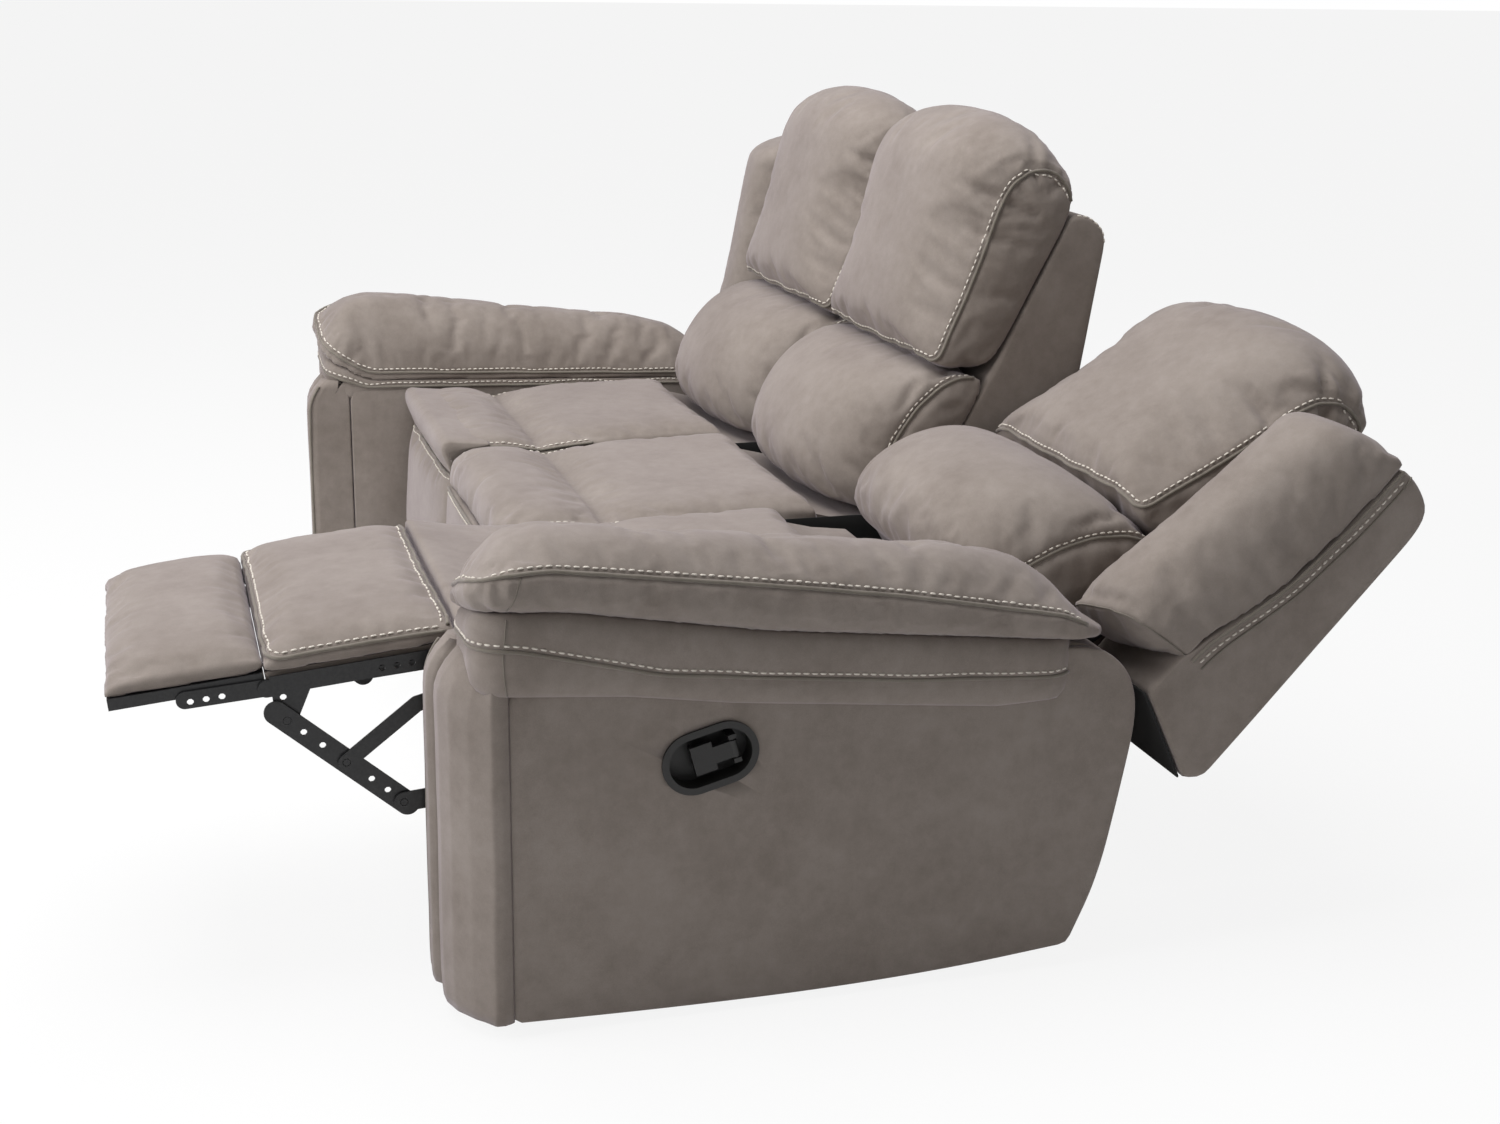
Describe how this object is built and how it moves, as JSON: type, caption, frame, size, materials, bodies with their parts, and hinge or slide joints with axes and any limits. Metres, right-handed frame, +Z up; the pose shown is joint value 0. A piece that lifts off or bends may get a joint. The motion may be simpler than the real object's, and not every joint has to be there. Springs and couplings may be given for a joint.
{
  "type": "reclining sofa",
  "caption": "Padded sofa with fixed middle seat, end seats that slide and recline, swing-out footrests on links and recessed pull handles.",
  "frame": {"origin": "on the floor under the middle of the whole sofa as posed: near footrest out and near back down, far end seat closed", "axes": "+X towards the near (opened) end seat, along the sofa's width; +Y to the rear, so the seats face -Y; +Z up"},
  "size_m": [2.006, 1.7346, 1.0349],
  "materials": {
    "taupe_suede": "brushed microfibre suede",
    "frame_wood": "plain plywood",
    "black_steel": "black, semi-gloss",
    "spring_wire": "drawn wire",
    "bolt_steel": "zinc plated",
    "black_glide": "matt",
    "handle_plastic": "fine grain"
  },
  "bodies": {
    "root": {"near_arm_frame": "frame_wood", "near_arm_outer_panel": "taupe_suede", "near_arm_front_panel": "taupe_suede", "near_arm_band": "taupe_suede", "near_arm_top_pad": "taupe_suede", "far_arm_frame": "frame_wood", "far_arm_outer_panel": "taupe_suede", "far_arm_front_panel": "taupe_suede", "far_arm_band": "taupe_suede", "far_arm_top_pad": "taupe_suede", "cross_rails": "frame_wood", "base_tracks": "black_steel", "feet": "black_glide", "frame_bolts": "bolt_steel", "handle_bezels": "handle_plastic", "middle_seat_frame": "frame_wood", "middle_seat_springs": "spring_wire", "middle_seat_cushion": "taupe_suede", "middle_front_panel": "taupe_suede", "middle_back_shell": "taupe_suede", "middle_lumbar_cushion": "taupe_suede", "middle_upper_cushion": "taupe_suede"},
    "near_carriage": {"near_seat_frame": "frame_wood", "near_seat_springs": "spring_wire", "near_seat_cushion": "taupe_suede", "near_side_plates": "black_steel", "near_chaise_pad": "taupe_suede"},
    "near_back": {"near_back_shell": "taupe_suede", "near_back_brackets": "black_steel", "near_lumbar_cushion": "taupe_suede", "near_upper_cushion": "taupe_suede", "near_wing_bolster": "taupe_suede"},
    "near_footrest": {"near_ottoman_board": "taupe_suede", "near_ottoman_pad": "taupe_suede", "near_ottoman_brackets": "black_steel"},
    "near_flip": {"near_flip_board": "taupe_suede", "near_flip_pad": "taupe_suede"},
    "near_rear_link": {"near_rear_links": "black_steel"},
    "near_guide_link": {"near_guide_links": "black_steel"},
    "near_long_link": {"near_long_links": "black_steel"},
    "near_lever": {"near_pull_lever": "handle_plastic"},
    "far_carriage": {"far_seat_frame": "frame_wood", "far_seat_springs": "spring_wire", "far_seat_cushion": "taupe_suede", "far_side_plates": "black_steel", "far_chaise_pad": "taupe_suede"},
    "far_back": {"far_back_shell": "taupe_suede", "far_back_brackets": "black_steel", "far_lumbar_cushion": "taupe_suede", "far_upper_cushion": "taupe_suede", "far_wing_bolster": "taupe_suede"},
    "far_footrest": {"far_ottoman_board": "taupe_suede", "far_ottoman_pad": "taupe_suede", "far_ottoman_brackets": "black_steel"},
    "far_flip": {"far_flip_board": "taupe_suede", "far_flip_pad": "taupe_suede"},
    "far_rear_link": {"far_rear_links": "black_steel"},
    "far_guide_link": {"far_guide_links": "black_steel"},
    "far_long_link": {"far_long_links": "black_steel"},
    "far_lever": {"far_pull_lever": "handle_plastic"}
  },
  "joints": [
    {"name": "near_seat_slide", "type": "slide", "parent": "root", "child": "near_carriage", "axis": [0, 0.995, -0.0995], "range_m": [0, 0.0804]},
    {"name": "near_back_recline", "type": "hinge", "parent": "near_carriage", "child": "near_back", "pos_m": [0.53, 0.237, 0.394], "axis": [1, 0, 0], "range_deg": [0, 40]},
    {"name": "near_footrest_fold", "type": "hinge", "parent": "near_carriage", "child": "near_footrest", "pos_m": [0.53, -0.37902, 0.49773], "axis": [1, 0, 0], "range_deg": [0, 80], "deforming": ["near_chaise_pad"]},
    {"name": "near_flip_fold", "type": "hinge", "parent": "near_footrest", "child": "near_flip", "pos_m": [0.53, -0.69129, 0.41785], "axis": [1, 0, 0], "range_deg": [0, 180]},
    {"name": "near_long_link_turn", "type": "hinge", "parent": "near_footrest", "child": "near_long_link", "pos_m": [0.53, -0.66909, 0.37582], "axis": [1, 0, 0], "range_deg": [-80, 0]},
    {"name": "near_rear_link_turn", "type": "hinge", "parent": "near_carriage", "child": "near_rear_link", "pos_m": [0.53, -0.23902, 0.37573], "axis": [1, 0, 0], "range_deg": [0, 80]},
    {"name": "near_guide_link_turn", "type": "hinge", "parent": "near_carriage", "child": "near_guide_link", "pos_m": [0.53, -0.30902, 0.43673], "axis": [1, 0, 0], "range_deg": [0, 80]},
    {"name": "near_lever_swing", "type": "hinge", "parent": "root", "child": "near_lever", "pos_m": [0.9625, -0.14412, 0.35754], "axis": [0, -0.2588, 0.9659], "range_deg": [0, 30], "stiffness_Nm_per_rad": 0.9, "springref_deg": -11.46},
    {"name": "far_seat_slide", "type": "slide", "parent": "root", "child": "far_carriage", "axis": [0, -0.995, 0.0995], "range_m": [0, 0.0804]},
    {"name": "far_back_recline", "type": "hinge", "parent": "far_carriage", "child": "far_back", "pos_m": [-0.53, 0.317, 0.386], "axis": [-1, 0, 0], "range_deg": [0, 40]},
    {"name": "far_footrest_fold", "type": "hinge", "parent": "far_carriage", "child": "far_footrest", "pos_m": [-0.53, -0.29902, 0.48973], "axis": [-1, 0, 0], "range_deg": [0, 80], "deforming": ["far_chaise_pad"]},
    {"name": "far_flip_fold", "type": "hinge", "parent": "far_footrest", "child": "far_flip", "pos_m": [-0.53, -0.27458, 0.16833], "axis": [-1, 0, 0], "range_deg": [0, 180]},
    {"name": "far_long_link_turn", "type": "hinge", "parent": "far_footrest", "child": "far_long_link", "pos_m": [-0.53, -0.22933, 0.18291], "axis": [-1, 0, 0], "range_deg": [-80, 0]},
    {"name": "far_rear_link_turn", "type": "hinge", "parent": "far_carriage", "child": "far_rear_link", "pos_m": [-0.53, -0.15902, 0.36773], "axis": [-1, 0, 0], "range_deg": [0, 80]},
    {"name": "far_guide_link_turn", "type": "hinge", "parent": "far_carriage", "child": "far_guide_link", "pos_m": [-0.53, -0.22902, 0.42873], "axis": [-1, 0, 0], "range_deg": [0, 80]},
    {"name": "far_lever_swing", "type": "hinge", "parent": "root", "child": "far_lever", "pos_m": [-0.9625, -0.14412, 0.35754], "axis": [0, 0.2588, -0.9659], "range_deg": [0, 30], "stiffness_Nm_per_rad": 0.9, "springref_deg": -11.46}
  ],
  "couplings": [
    {"joint": "near_seat_slide", "follows": "near_back_recline", "m_per_rad": 0.11516},
    {"joint": "near_flip_fold", "follows": "near_footrest_fold", "ratio": 2.25},
    {"joint": "near_long_link_turn", "follows": "near_footrest_fold", "ratio": -1},
    {"joint": "near_rear_link_turn", "follows": "near_footrest_fold", "ratio": 1},
    {"joint": "near_guide_link_turn", "follows": "near_footrest_fold", "ratio": 1},
    {"joint": "far_seat_slide", "follows": "far_back_recline", "m_per_rad": 0.11516},
    {"joint": "far_flip_fold", "follows": "far_footrest_fold", "ratio": 2.25},
    {"joint": "far_long_link_turn", "follows": "far_footrest_fold", "ratio": -1},
    {"joint": "far_rear_link_turn", "follows": "far_footrest_fold", "ratio": 1},
    {"joint": "far_guide_link_turn", "follows": "far_footrest_fold", "ratio": 1}
  ]
}
